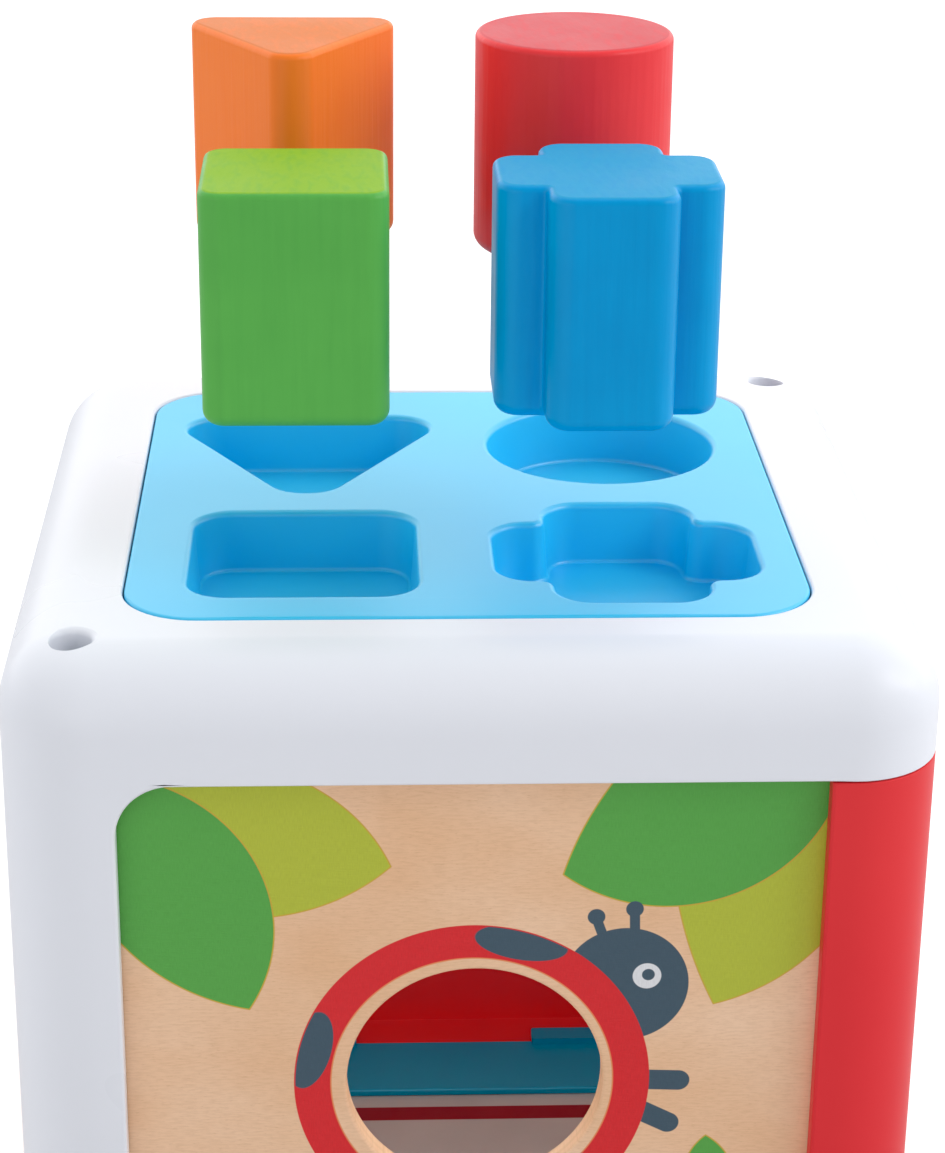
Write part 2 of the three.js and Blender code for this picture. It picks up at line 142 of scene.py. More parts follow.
def triangle(inner, radius, x, y, steps=16):
    reach = inner * math.sqrt(3)
    return rounded_outline(
        [(x, y - 2 * inner, radius), (x + reach, y + inner, radius), (x - reach, y + inner, radius)], steps)


def cross(half, arm, radius, notch, x, y, steps=9):
    """A cross of four equal arms; the radius in its inner corners never falls to nothing."""
    sharpest = 0.35
    notch = max(notch, sharpest)
    one_arm = [(arm, -half, radius), (arm, -arm, notch), (half, -arm, radius)]
    corners = []
    for turns in range(4):
        cos, sin = round(math.cos(turns * math.pi / 2)), round(math.sin(turns * math.pi / 2))
        corners += [(x + u * cos - v * sin, y + u * sin + v * cos, r) for u, v, r in one_arm]
    return rounded_outline(corners, steps)


# ---- Meshes ----

class Shape:
    """Vertices and faces of one closed body."""

    def __init__(self):
        self.verts = []
        self.faces = []

    def loop(self, points):
        first = len(self.verts)
        self.verts.extend(points)
        return list(range(first, len(self.verts)))

    def ring(self, outline, z):
        return self.loop([(x, y, z) for x, y in outline])

    def skin(self, rings, closed=False):
        pairs = list(zip(rings, rings[1:]))
        if closed:
            pairs.append((rings[-1], rings[0]))
        for low, high in pairs:
            count = len(low)
            for i in range(count):
                j = (i + 1) % count
                self.faces.append((low[i], low[j], high[j], high[i]))

    def cap(self, ring):
        self.faces.append(tuple(ring))

    def solid(self, rings):
        """An object skinned over the rings and capped at both ends."""
        self.skin(rings)
        self.cap(rings[0])
        self.cap(rings[-1])
        return self.object()

    def sheet(self, outer, holes):
        """A flat face between an outer ring and the rings of its holes."""
        loops = [outer, *holes]
        flat = [i for ring in loops for i in ring]
        for corners in tessellate_polygon([[Vector(self.verts[i]) for i in ring] for ring in loops]):
            self.faces.append(tuple(flat[i] for i in corners))

    def object(self, name="shape"):
        mesh = bpy.data.meshes.new(name)
        mesh.from_pydata(self.verts, [], self.faces)
        edit = bmesh.new()
        edit.from_mesh(mesh)
        bmesh.ops.recalc_face_normals(edit, faces=edit.faces)
        edit.to_mesh(mesh)
        edit.free()
        made = bpy.data.objects.new(name, mesh)
        bpy.context.scene.collection.objects.link(made)
        return made


def quarter(radius, steps):
    """(inset, rise) pairs of a rounded edge, from the upright side to the flat."""
    turns = [math.pi / 2 * k / steps for k in range(steps + 1)]
    return [(radius * (1 - math.cos(a)), radius * math.sin(a)) for a in turns]


def prism(outline, z0, z1, rounding=0.0):
    """An upright prism, with both its ends rounded over when the outline is a function of the inset."""
    shape = Shape()
    if callable(outline):
        edge = quarter(rounding, 3)
        levels = [(inset, z0 + rounding - rise) for inset, rise in reversed(edge)]
        levels += [(inset, z1 - rounding + rise) for inset, rise in edge]
        rings = [shape.ring(outline(-inset), z) for inset, z in levels]
    else:
        rings = [shape.ring(outline, z0), shape.ring(outline, z1)]
    return shape.solid(rings)


def box(x0, x1, y0, y1, z0, z1):
    (x0, x1), (y0, y1) = sorted((x0, x1)), sorted((y0, y1))
    return prism([(x0, y0), (x1, y0), (x1, y1), (x0, y1)], z0, z1)


def turned(profile, x, y, steps=48):
    """A solid of revolution over (radius, height) pairs, flat at both ends."""
    shape = Shape()
    return shape.solid([shape.ring(circle(radius, x, y, steps), z) for radius, z in profile])


def rod(x, y, radius, z0, z1):
    return turned([(radius, z0), (radius, z1)], x, y, 32)


def bake(made):
    """Applies an object's modifiers to its mesh."""
    graph = bpy.context.evaluated_depsgraph_get()
    mesh = bpy.data.meshes.new_from_object(made.evaluated_get(graph))
    made.modifiers.clear()
    made.data = mesh
    return made


def combine(made, others, operation):
    """Joins to an object, or cuts from it, each of the others in turn."""
    for other in others:
        modifier = made.modifiers.new("combine", "BOOLEAN")
        modifier.object = other
        modifier.operation = operation
        modifier.solver = "MANIFOLD"
    bake(made)
    for other in others:
        bpy.data.objects.remove(other)
    return made


def turn_over(made):
    """Turns a piece over about the X axis through the middle of the cube."""
    made.data.transform(Matrix.Translation((0, 0, TOP)) @ Matrix.Rotation(math.pi, 4, "X"))
    return made


def copy_of(made):
    twin = made.copy()
    twin.data = made.data.copy()
    bpy.context.scene.collection.objects.link(twin)
    return twin


def body_of(node):
    bodies = frame["record"]["behaviour"]["bodies"]
    return next(name for name, nodes in bodies.items() if node in nodes)


def place(made, node, material, slot):
    """Names a piece after the CAD node it stands for, scales it to metres and smooths its shading."""
    sharp_degrees, flat_weight = 34.0, 80
    made.name = node + "_look"
    made.data.name = made.name
    made.data.transform(Matrix.Scale(MM, 4))
    made.data.materials.clear()
    made.data.materials.append(material)
    made.data.polygons.foreach_set("use_smooth", [True] * len(made.data.polygons))
    made.data.set_sharp_from_angle(angle=math.radians(sharp_degrees))
    weighted = made.modifiers.new("weighted", "WEIGHTED_NORMAL")
    weighted.keep_sharp = True
    weighted.weight = flat_weight
    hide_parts(node)
    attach(made, body_of(node))


# ---- Half frames ----

def frame_outline(half, radius):
    """A rounded square with extra points on its sides, where the edge of a window ends and where the edge
    beside the other half's column begins."""
    corner = ARC_STEPS + 1
    loop = square(half, radius)
    near = (half - radius) * WINDOW_HALF / (HALF - CORNER_RADIUS)
    front = [(-0.8 * near, -half), (0.97 * near, -half), (near, -half)]
    side = [(half, -near), (half, -0.97 * near), (half, 0.8 * near)]
    extra = [front, side, [(-x, -y) for x, y in front], [(-x, -y) for x, y in side]]
    points = []
    for i in range(4):
        points += loop[i * corner:(i + 1) * corner] + extra[i]
    return points


def half_shell():
    """The outer walls of a half frame, all round, with the opening in their top."""
    shape = Shape()
    levels = [(HALF, CORNER_RADIUS, COLUMN_BOTTOM)]
    levels += [(HALF - inset, CORNER_RADIUS - inset, TOP - EDGE_RADIUS + rise)
               for inset, rise in quarter(EDGE_RADIUS, 16)]
    rim = [(WINDOW_HALF + OPENING_RIM - rise, OPENING_RADIUS + OPENING_RIM - rise, TOP - inset)
           for inset, rise in quarter(OPENING_RIM, 5)]
    levels += rim
    levels += [(WINDOW_HALF, OPENING_RADIUS, ROOF)]
    inner = quarter(EDGE_RADIUS - WALL, 8)
    levels += [(HALF - WALL - inset, CORNER_RADIUS - WALL - inset, TOP - EDGE_RADIUS + rise)
               for inset, rise in reversed(inner)]
    levels += [(HALF - WALL, CORNER_RADIUS - WALL, COLUMN_BOTTOM)]
    shape.skin([shape.ring(frame_outline(half, radius), z) for half, radius, z in levels], closed=True)
    return shape.object()


def wall_middle():
    """The solid inside the middle of the wall, where the parts behind the walls end."""
    inset = WALL / 2
    shape = Shape()
    levels = [(HALF - inset, CORNER_RADIUS - inset, 0.0)]
    levels += [(HALF - inset - i, CORNER_RADIUS - inset - i, TOP - EDGE_RADIUS + rise)
               for i, rise in quarter(EDGE_RADIUS - inset, 8)]
    return shape.solid([shape.ring(square(half, radius), z) for half, radius, z in levels])


def window_web(sx, sy, on_front):
    """The rounded corner left between a column and the cap: a bracket shape pushed through the wall."""
    centre = WINDOW_HALF - WINDOW_RADIUS
    bottom = CAP_BOTTOM - WINDOW_RADIUS
    arc = [math.pi - math.pi / 2 * k / ARC_STEPS for k in range(ARC_STEPS + 1)]
    bracket = [(WINDOW_HALF + 1, bottom)]
    bracket += [(centre - WINDOW_RADIUS * math.cos(a), bottom + WINDOW_RADIUS * math.sin(a)) for a in arc]
    bracket += [(centre, CAP_BOTTOM + 1), (WINDOW_HALF + 1, CAP_BOTTOM + 1)]
    shape = Shape()
    rings = []
    for through in (PANEL_FACE + GAP / 2, HALF + 2):
        if on_front:
            rings.append(shape.loop([(sx * u, sy * through, z) for u, z in bracket]))
        else:
            rings.append(shape.loop([(sx * through, sy * u, z) for u, z in bracket]))
    return shape.solid(rings)


def window_cutter():
    past, side = HALF + 1, WINDOW_HALF
    corners = [(-side, -past), (past, -past), (past, side), (side, side),
               (side, past), (-past, past), (-past, -side), (-side, -side)]
    webs = [window_web(s, s, on_front) for s in (-1, 1) for on_front in (True, False)]
    return combine(prism(corners, -1.0, CAP_BOTTOM), webs, "DIFFERENCE")


def corner_parts(sx, sy):
    """Behind a corner: the tube of its screw, two stops for the panel edges and two ribs behind the panels."""
    well = abs(WELLS[0].x)
    stop = PANEL_HIGH.x + GAP
    rib_outer = PANEL_BACK - GAP
    rib_inner = rib_outer - RIB

    def at(u0, u1, v0, v1):
        return box(sx * u0, sx * u1, sy * v0, sy * v1, 0.0, TOP)

    return [
        rod(sx * well, sy * well, TUBE_RADIUS, 0.0, TOP + 1),
        at(stop, stop + RIB, well, HALF),
        at(well, HALF, stop, stop + RIB),
        at(WINDOW_HALF - 1, well, rib_inner, rib_outer),
        at(rib_inner, rib_outer, WINDOW_HALF - 1, well),
    ]


def cap_parts():
    """The upright rib behind the tops of the panels, and the gussets between it and the walls."""
    outer = PANEL_BACK - GAP
    inner = outer - RIB
    rib_bottom, gusset_at = 27.0, 40.0
    rib = combine(box(-outer, outer, -outer, outer, rib_bottom, TOP),
                  [box(-inner, inner, -inner, inner, 0.0, TOP + 1)], "DIFFERENCE")
    made = [rib]
    bottom = PANEL_HIGH.z + GAP
    for side in (-1, 1):
        near, far = side * (inner + outer) / 2, side * HALF
        for middle in (-gusset_at, gusset_at):
            left, right = middle - RIB / 2, middle + RIB / 2
            made.append(box(left, right, near, far, bottom, TOP))
            made.append(box(near, far, left, right, bottom, TOP))
    return made


def well_cutter(x, y):
    """The screw's well, with a softly flared mouth."""
    flare = 1.6
    radius = 4.5
    seat = 38.0
    mouth = [(radius + inset, TOP - flare + rise) for inset, rise in quarter(flare, 6)[:-1]]
    above = (radius + 2 * flare, TOP + 0.6)
    foot = [(FRAME_HOLE_RADIUS, COLUMN_BOTTOM - 1), (FRAME_HOLE_RADIUS, seat), (radius, seat)]
    return turned([*foot, *mouth, above], x, y)


def on_outer_wall(point):
    """True on the upright outside of the cube, below its rounded upper edge."""
    slack, clearance = 0.08, 0.5
    flat = HALF - CORNER_RADIUS
    u, v = abs(point.x) - flat, abs(point.y) - flat
    away = math.hypot(u, v) if u > 0 and v > 0 else max(u, v)
    return abs(away - CORNER_RADIUS) < slack and point.z < TOP - EDGE_RADIUS - clearance


def soften_edges(made):
    """Rounds the edges of the windows, and less so the edges along the joint with the other half."""
    window_edge, joint_edge = 0.9, 0.3
    merge, slack, least_turn = 0.004, 0.01, math.radians(60)
    edit = bmesh.new()
    edit.from_mesh(made.data)
    bmesh.ops.remove_doubles(edit, verts=edit.verts, dist=merge)
    weight = edit.edges.layers.float.new("bevel_weight_edge")
    for edge in edit.edges:
        a, b = (vert.co for vert in edge.verts)
        if len(edge.link_faces) != 2 or edge.calc_face_angle(0) < least_turn:
            continue
        if not (on_outer_wall(a) and on_outer_wall(b)):
            continue
        middle = (a + b) / 2
        in_corner = middle.x * middle.y < 0 and min(abs(middle.x), abs(middle.y)) > WINDOW_HALF
        over_column = in_corner and abs(middle.z - CAP_BOTTOM) < slack
        at_joint = middle.z < COLUMN_BOTTOM + slack or over_column
        edge[weight] = joint_edge if at_joint else window_edge
    edit.to_mesh(made.data)
    edit.free()
    bevel = made.modifiers.new("soft", "BEVEL")
    bevel.limit_method = "WEIGHT"
    bevel.width = 1.0
    bevel.segments = 3
    bevel.use_clamp_overlap = False
    return bake(made)


def half_frame():
    """The cap with its two columns, at the front left and the back right."""
    post_length, pilot_depth = 2.0, 17.5
    parts = [part for sx in (-1, 1) for sy in (-1, 1) for part in corner_parts(sx, sy)] + cap_parts()
    core = combine(parts[0], parts[1:], "UNION")
    core = combine(core, [wall_middle()], "INTERSECT")
    posts = [rod(at.x, at.y, POST_RADIUS, ROOF - post_length, ROOF + 0.5) for at in POSTS]
    holes = [rod(at.x, at.y, POST_HOLE_RADIUS, ROOF - post_length - 1, TOP - 2) for at in POSTS]
    pilots = [rod(at.x, at.y, FRAME_HOLE_RADIUS, CAP_BOTTOM - 1, CAP_BOTTOM + pilot_depth) for at in PILOTS]
    wells = [well_cutter(at.x, at.y) for at in WELLS]
    below = box(-HALF - 1, HALF + 1, -HALF - 1, HALF + 1, -1.0, COLUMN_BOTTOM)
    made = combine(half_shell(), [core, *posts], "UNION")
    made = combine(made, [window_cutter(), below, *wells, *pilots, *holes], "DIFFERENCE")
    return soften_edges(made)


# ---- Trays ----

PLATE = 4.5  # thickness of a tray's plate
FLANGE = 2.0
FLANGE_TOP = ROOF - GAP
FLANGE_BOTTOM = FLANGE_TOP - FLANGE
TRAY_HALF = WINDOW_HALF - GAP
TRAY_RADIUS = OPENING_RADIUS - GAP
TRAY_BOTTOM = TOP - PLATE


def flange_corner(sx, sy):
    """One of the four corner parts of the flange behind the edge of the opening."""
    outer, inner, notch, soft = box_mm("sorter_tray")[1].x, 73.0, 25.0, 0.8
    corners = [(notch, inner, soft), (inner, inner, 17.0), (inner, notch, soft),
               (outer, notch, soft), (outer, outer, 21.0), (notch, outer, soft)]
    loop = [(sx * x, sy * y) for x, y in reversed(rounded_outline(corners, 8))]
    return prism(loop, FLANGE_BOTTOM, FLANGE_TOP)


def add_flange(plate):
    ear_radius = 5.5
    hole_radius = POST_RADIUS + GAP
    ears = [rod(at.x, at.y, ear_radius, FLANGE_BOTTOM, FLANGE_TOP) for at in POSTS]
    combine(plate, [flange_corner(sx, sy) for sx in (-1, 1) for sy in (-1, 1)] + ears, "UNION")
    holes = [rod(at.x, at.y, hole_radius, FLANGE_BOTTOM - 1, FLANGE_TOP + 1) for at in POSTS]
    return combine(plate, holes, "DIFFERENCE")


POCKETS = [
    ("square_pocket", lambda d, x, y: square(25.25 + d, 9 + d, x, y)),
    ("cross_pocket", lambda d, x, y: cross(29.5 + d, 17 + d, 8.5 + d, 3 - d, x, y)),
    ("round_pocket", lambda d, x, y: circle(27.75 + d, x, y, 72)),
    ("triangle_pocket", lambda d, x, y: triangle(21 + d, 8.8 + d, x, y)),
]


def sorter_tray():
    """The tray: a plate with four cups hanging under it, their mouths and floors rounded."""
    rim, mouth, foot, wall, draft = 0.8, 1.4, 1.0, 2.2, 0.9
    back_row = opening_centre_mm("round_pocket").y
    floor = box_mm("sorter_tray")[0].z + wall
    shape = Shape()
    sides = [shape.ring(square(TRAY_HALF - inset, TRAY_RADIUS - inset), TOP - rim + rise)
             for inset, rise in quarter(rim, 4)]
    foot_ring = shape.ring(square(TRAY_HALF, TRAY_RADIUS), TRAY_BOTTOM)
    shape.skin([foot_ring, *sides])
    mouths, cups = [], []
    for name, outline in POCKETS:
        centre = opening_centre_mm(name)
        x, y = centre.x, back_row if name == "triangle_pocket" else centre.y
        levels = [(mouth - rise, TOP - inset) for inset, rise in quarter(mouth, 6)]
        levels += [(-draft - inset, floor + foot - rise) for inset, rise in quarter(foot, 6)]
        inside = [shape.ring(outline(d, x, y), z) for d, z in levels]
        shape.skin(inside)
        shape.cap(inside[-1])
        mouths.append(inside[0])
        under = [(wall, TRAY_BOTTOM)]
        under += [(wall - draft - inset, floor + foot - wall - rise) for inset, rise in quarter(foot, 4)]
        outside = [shape.ring(outline(d, x, y), z) for d, z in under]
        shape.skin(outside)
        shape.cap(outside[-1])
        cups.append(outside[0])
    shape.sheet(sides[-1], mouths)
    shape.sheet(foot_ring, cups)
    return add_flange(shape.object())


def base_tray():
    """The tray in the base: a plate with a square opening and a step that holds the floor panel."""
    face = TOP - box_mm("base_tray")[0].z
    panel_high = box_mm("floor_panel")[1]
    lip, corner, rim, chamfer, soft = 50.0, 4.0, 0.6, 0.3, 0.7
    step = panel_high.x + GAP
    seat = TOP - panel_high.z - GAP
    shape = Shape()
    levels = [(TRAY_HALF, TRAY_RADIUS, TRAY_BOTTOM)]
    levels += [(TRAY_HALF - inset, TRAY_RADIUS - inset, face - rim + rise) for inset, rise in quarter(rim, 3)]
    levels += [(step + chamfer, corner + chamfer, face), (step, corner, face - chamfer),
               (step, corner, seat), (lip, corner, seat)]
    levels += [(lip + soft - rise, corner + soft - rise, TRAY_BOTTOM + inset)
               for inset, rise in reversed(quarter(soft, 3))]
    shape.skin([shape.ring(square(half, radius), z) for half, radius, z in levels], closed=True)
    return add_flange(shape.object())


def floor_panel():
    low, high = box_mm("floor_panel")
    corner, soft = 3.7, 0.3
    return prism(lambda d: square(high.x + d, corner + d), low.z, high.z, soft)


# ---- Plywood sides ----

def rectangle(half_width, low, high, radius):
    return rounded_outline([(-half_width, low, radius), (half_width, low, radius),
                            (half_width, high, radius), (-half_width, high, radius)], 3)


def side_panel(quarter_turns, with_hole=False):
    """A board facing -Y, turned to its side of the cube. Its loops lie flat, upright in the board's plane."""
    shape = Shape()
    width, low, high = PANEL_HIGH.x, PANEL_LOW.z, PANEL_HIGH.z
    soft, corner = 0.5, 0.8
    thickness = PANEL_FACE - PANEL_BACK

    def loop(outline, depth):
        return shape.loop([(x, depth - PANEL_FACE, z) for x, z in outline])

    edge = quarter(soft, 3)
    levels = [(inset, soft - rise) for inset, rise in reversed(edge)]
    levels += [(inset, thickness - soft + rise) for inset, rise in edge]
    sides = [loop(rectangle(width - d, low + d, high - d, corner - d), depth) for d, depth in levels]
    shape.skin(sides)
    if with_hole:
        bore = [(HOLE_RADIUS + HOLE_ROUNDING - rise, inset) for inset, rise in quarter(HOLE_ROUNDING, 8)]
        bore += [(HOLE_RADIUS + inset, thickness - soft + rise) for inset, rise in edge]
        rings = [loop(circle(radius, HOLE.x, HOLE.z, 96), depth) for radius, depth in bore]
        shape.skin(rings)
        shape.sheet(sides[0], [rings[0]])
        shape.sheet(sides[-1], [rings[-1]])
    else:
        shape.cap(sides[0])
        shape.cap(sides[-1])
    made = shape.object()
    made.data.transform(Matrix.Rotation(quarter_turns * math.pi / 2, 4, "Z"))
    return made


# ---- Blocks ----

def block(node, outline):
    """A wooden block between the lowest and highest levels of its CAD solid, softer at the foot."""
    low, high = box_mm(node)
    centre = (low + high) / 2
    top_edge, foot_edge = 1.6, 3.2
    levels = [(-inset, low.z + foot_edge - rise) for inset, rise in reversed(quarter(foot_edge, 7))]
    levels += [(-inset, high.z - top_edge + rise) for inset, rise in quarter(top_edge, 6)]
    shape = Shape()
    return shape.solid([shape.ring(outline(d, centre.x, centre.y, high.x - centre.x), z) for d, z in levels])


def triangle_block_outline(d, x, _y, _half):
    """The triangle lies against the back of its CAD box, since its middle isn't the middle of the box."""
    inner, radius = 16.3, 6.0
    back = box_mm("triangle_block")[1].y
    return triangle(inner + d, radius + d, x, back - inner)


# ---- Screws ----

def screw(node, head, shank, head_height, head_up):
    """A pan-head screw with a cross recess, made about its own axis and moved to its CAD place."""
    low, high = box_mm(node)
    length = high.z - low.z - head_height
    tip, soft, side_share, crown_steps = 0.15, 0.2, 0.45, 7
    crown = [math.pi / 2 * k / crown_steps for k in range(crown_steps)]
    dome = [(head * math.cos(a), head_height * (side_share + (1 - side_share) * math.sin(a))) for a in crown]
    profile = [(tip, -length), (shank * 0.6, shank - length), (shank, 2 * shank - length),
               (shank, 0.0), (head - soft, 0.0), (head, soft), *dome]
    reach, width = 0.62 * head, 0.13 * head
    slots = [box(-x, x, -y, y, head_height * side_share, head_height * 1.2)
             for x, y in ((reach, width), (width, reach))]
    made = combine(turned(profile, 0.0, 0.0, 32), slots, "DIFFERENCE")
    seat = high.z - head_height
    if not head_up:
        made.data.transform(Matrix.Rotation(math.pi, 4, "X"))
        seat = low.z + head_height
    made.data.transform(Matrix.Translation(((low.x + high.x) / 2, (low.y + high.y) / 2, seat)))
    return made


# ---- Materials ----

class Graph:
    """The node tree of one material. A value may be a number, a colour or another node's output."""

    def __init__(self, name):
        self.material = bpy.data.materials.new(name)
        self.material.use_nodes = True
        self.tree = self.material.node_tree
        self.tree.nodes.clear()

    def add(self, kind, inputs=None, **settings):
        node = self.tree.nodes.new(kind)
        for key, value in settings.items():
            setattr(node, key, value)
        for key, value in (inputs or {}).items():
            if isinstance(value, bpy.types.NodeSocket):
                self.tree.links.new(value, node.inputs[key])
            else:
                node.inputs[key].default_value = value
        return node

    def math(self, operation, *values, clamp=False):
        inputs = dict(enumerate(values))
        return self.add("ShaderNodeMath", inputs, operation=operation, use_clamp=clamp).outputs[0]

    def mix(self, factor, a, b, blend="MIX"):
        node = self.add("ShaderNodeMix", {0: factor, 6: a, 7: b}, data_type="RGBA", blend_type=blend)
        return node.outputs[2]

    def place(self, scale=(1, 1, 1), turn=(0, 0, 0)):
        """Object coordinates, stretched and turned."""
        where = self.add("ShaderNodeTexCoord").outputs["Object"]
        return self.add("ShaderNodeMapping", {"Vector": where, "Scale": scale, "Rotation": turn}).outputs[0]

    def noise(self, scale, detail, where=None):
        inputs = {"Scale": scale, "Detail": detail}
        inputs["Vector"] = where if where is not None else self.place()
        return self.add("ShaderNodeTexNoise", inputs).outputs["Fac"]

    def mix_value(self, share, first, second):
        return self.add("ShaderNodeMix", {0: share, 2: first, 3: second}, data_type="FLOAT").outputs[0]

    def span(self, value, low, high, to_low=0.0, to_high=1.0):
        inputs = {"Value": value, "From Min": low, "From Max": high, "To Min": to_low, "To Max": to_high}
        return self.add("ShaderNodeMapRange", inputs).outputs[0]

    def bump(self, height, distance, strength, before=None):
        inputs = {"Height": height, "Distance": distance, "Strength": strength}
        if before is not None:
            inputs["Normal"] = before
        return self.add("ShaderNodeBump", inputs).outputs[0]

    def finish(self, **inputs):
        named = {key.replace("_", " "): value for key, value in inputs.items()}
        shader = self.add("ShaderNodeBsdfPrincipled", named)
        self.add("ShaderNodeOutputMaterial", {"Surface": shader.outputs[0]})
        return self.material


def rgb(red, green, blue):
    """A linear colour from sRGB levels of 0 to 255."""
    def linear(level):
        share = level / 255
        return share / 12.92 if share <= 0.04045 else ((share + 0.055) / 1.055) ** 2.4
    return (linear(red), linear(green), linear(blue), 1.0)


def plastic(name, colour, deep, roughness, level):
    """A moulded plastic: faint flow marks in its colour, smudges in its gloss, and a slightly uneven face."""
    g = Graph(name)
    flow = g.span(g.noise(9.0, 4.0), 0.35, 0.65)
    tint = g.mix(flow, colour, deep)
    smudge = g.noise(24.0, 2.0)
    gloss = g.span(smudge, 0.25, 0.75, roughness - 0.01, roughness + 0.02)
    grain = g.bump(g.noise(1400.0, 2.0), 0.00001, 0.15)
    wave = g.bump(g.noise(16.0, 1.0), 0.0003, 0.1, grain)
    return g.finish(Base_Color=tint, Roughness=gloss, Normal=wave, Specular_IOR_Level=level)


def painted_wood(name, colour, deep, painted_top_light):
    """Satin paint over beech: long grain shows through on the sides and brush strokes on the duller top. The
    top's own colour is painted light, standing for how the light falls on the upward faces.
    """
    g = Graph(name)
    facing = g.add("ShaderNodeNewGeometry").outputs["Normal"]
    upward = g.add("ShaderNodeSeparateXYZ", {0: facing}).outputs[2]
    on_top = g.span(upward, 0.82, 0.96)
    cloud = g.span(g.noise(26.0, 4.0), 0.3, 0.7)
    fibre = g.noise(560.0, 3.0, g.place((1, 1, 0.05)))
    strokes = g.noise(620.0, 3.0, g.place((1, 0.3, 1), (0, 0, math.radians(35))))
    texture = g.mix_value(on_top, fibre, strokes)
    tint = g.mix(g.math("MULTIPLY", cloud, 0.6), colour, deep)
    # painted light: upward faces are mixed toward a colour of their own, for how the light falls on the tops
    tint = g.mix(on_top, tint, painted_top_light)
    tint = g.mix(g.span(texture, 0.45, 0.75, 0.0, 0.3), tint, deep)
    gloss = g.span(g.noise(55.0, 4.0), 0.3, 0.7, 0.33, 0.42)
    grain = g.bump(texture, 0.0002, 0.5)
    soft = g.bump(g.noise(45.0, 2.0), 0.0005, 0.15, grain)
    level = g.span(on_top, 0.0, 1.0, 0.24, 0.03)  # the top reflects less of the bright surroundings
    return g.finish(Base_Color=tint, Roughness=gloss, Normal=soft, Specular_IOR_Level=level)


def steel():
    g = Graph("screw_steel")
    lathe = g.noise(500.0, 3.0, g.place((0.1, 0.1, 3)))
    tint = g.mix(g.span(lathe, 0.3, 0.7), rgb(150, 152, 158), rgb(205, 206, 208))
    gloss = g.span(g.noise(260.0, 3.0), 0.3, 0.7, 0.25, 0.42)
    return g.finish(Base_Color=tint, Metallic=1.0, Roughness=gloss, Normal=g.bump(lathe, 0.00002, 0.4))


# ---- The printed plywood ----

DARK_LEAF = rgb(92, 172, 78)
LIGHT_LEAF = rgb(186, 196, 66)
LEAF_RIM = rgb(206, 168, 62)
BODY_RIM = rgb(232, 140, 92)
LADYBIRD_RED = rgb(224, 44, 50)
SLATE = rgb(70, 92, 107)
PALE = rgb(232, 234, 238)

# Each leaf is where two discs overlap: (across, up from the top of the cube, radius) in the panel's plane.
LIGHT_LEAVES = [
    [(-54.8, -64.1, 40.7), (-47.6, -16.6, 44.0)],
    [(145.7, -37.0, 103.9), (41.5, -40.3, 44.0)],
]
DARK_LEAVES = [
    [(-79.4, -63.2, 37.2), (-39.1, -37.9, 45.9)],
    [(92.7, -71.5, 76.5), (42.0, -22.0, 36.8)],
]
SPROUT_LEAVES = [
    [(45.0, -128.0, 14.0), (60.5, -126.0, 13.0)],
    [(53.0, -137.0, 11.0), (67.0, -132.5, 11.0)],
]
INK_EDGE = 0.16  # softness of a printed edge
RIM = 0.3  # width of the thin rim round a print
GRAIN_SHIFT = 37.0  # how far apart the grains of two sides are, so that no two sides are alike
PLY_PAIR = 2.4  # thickness of a light ply and a dark one


class Print:
    """Flat printed shapes in a panel's plane, as distances in millimetres that are negative inside."""

    def __init__(self, graph, quarter_turns):
        self.g = graph
        where = graph.add("ShaderNodeTexCoord").outputs["Object"]
        axes = graph.add("ShaderNodeSeparateXYZ", {0: where}).outputs
        sign = -1 if quarter_turns in (2, 3) else 1
        self.u = graph.math("MULTIPLY", axes[quarter_turns % 2], sign / MM)
        self.v = graph.math("MULTIPLY_ADD", axes[2], 1 / MM, -TOP)
        self.point = graph.add("ShaderNodeCombineXYZ", {0: self.u, 1: self.v}).outputs[0]

    def disc(self, x, y, radius):
        inputs = {0: self.point, 1: (x, y, 0)}
        away = self.g.add("ShaderNodeVectorMath", inputs, operation="DISTANCE").outputs["Value"]
        return self.g.math("SUBTRACT", away, radius)

    def oval(self, x, y, long, short, degrees):
        turn = math.radians(degrees)
        moved = self.g.add("ShaderNodeMapping", {
            "Vector": self.point, "Location": (x, y, 0), "Rotation": (0, 0, turn), "Scale": (long, short, 1),
        }, vector_type="TEXTURE").outputs[0]
        away = self.g.add("ShaderNodeVectorMath", {0: moved}, operation="LENGTH").outputs["Value"]
        return self.g.math("MULTIPLY", self.g.math("SUBTRACT", away, 1.0), short)

    def stroke(self, x0, y0, x1, y1, radius):
        """A straight stroke with round ends."""
        g = self.g
        length = math.hypot(x1 - x0, y1 - y0)
        turn = math.atan2(y1 - y0, x1 - x0)
        moved = g.add("ShaderNodeMapping", {
            "Vector": self.point, "Location": (x0, y0, 0), "Rotation": (0, 0, turn),
        }, vector_type="TEXTURE").outputs[0]
        axes = g.add("ShaderNodeSeparateXYZ", {0: moved}).outputs
        beyond = g.math("SUBTRACT", axes[0], g.math("MINIMUM", g.math("MAXIMUM", axes[0], 0.0), length))
        away = g.add("ShaderNodeCombineXYZ", {0: beyond, 1: axes[1]}).outputs[0]
        reach = g.add("ShaderNodeVectorMath", {0: away}, operation="LENGTH").outputs["Value"]
        return g.math("SUBTRACT", reach, radius)

    def both(self, *distances):
        found = distances[0]
        for other in distances[1:]:
            found = self.g.math("MAXIMUM", found, other)
        return found

    def either(self, *distances):
        found = distances[0]
        for other in distances[1:]:
            found = self.g.math("MINIMUM", found, other)
        return found

    def ink(self, distance):
        """1 inside the shape, 0 outside, with a printed edge between."""
        return self.g.math("MULTIPLY_ADD", distance, -1 / INK_EDGE, 0.5, clamp=True)


def leaves(ink, pairs):
    return ink.either(*[ink.both(ink.disc(*a), ink.disc(*b)) for a, b in pairs])


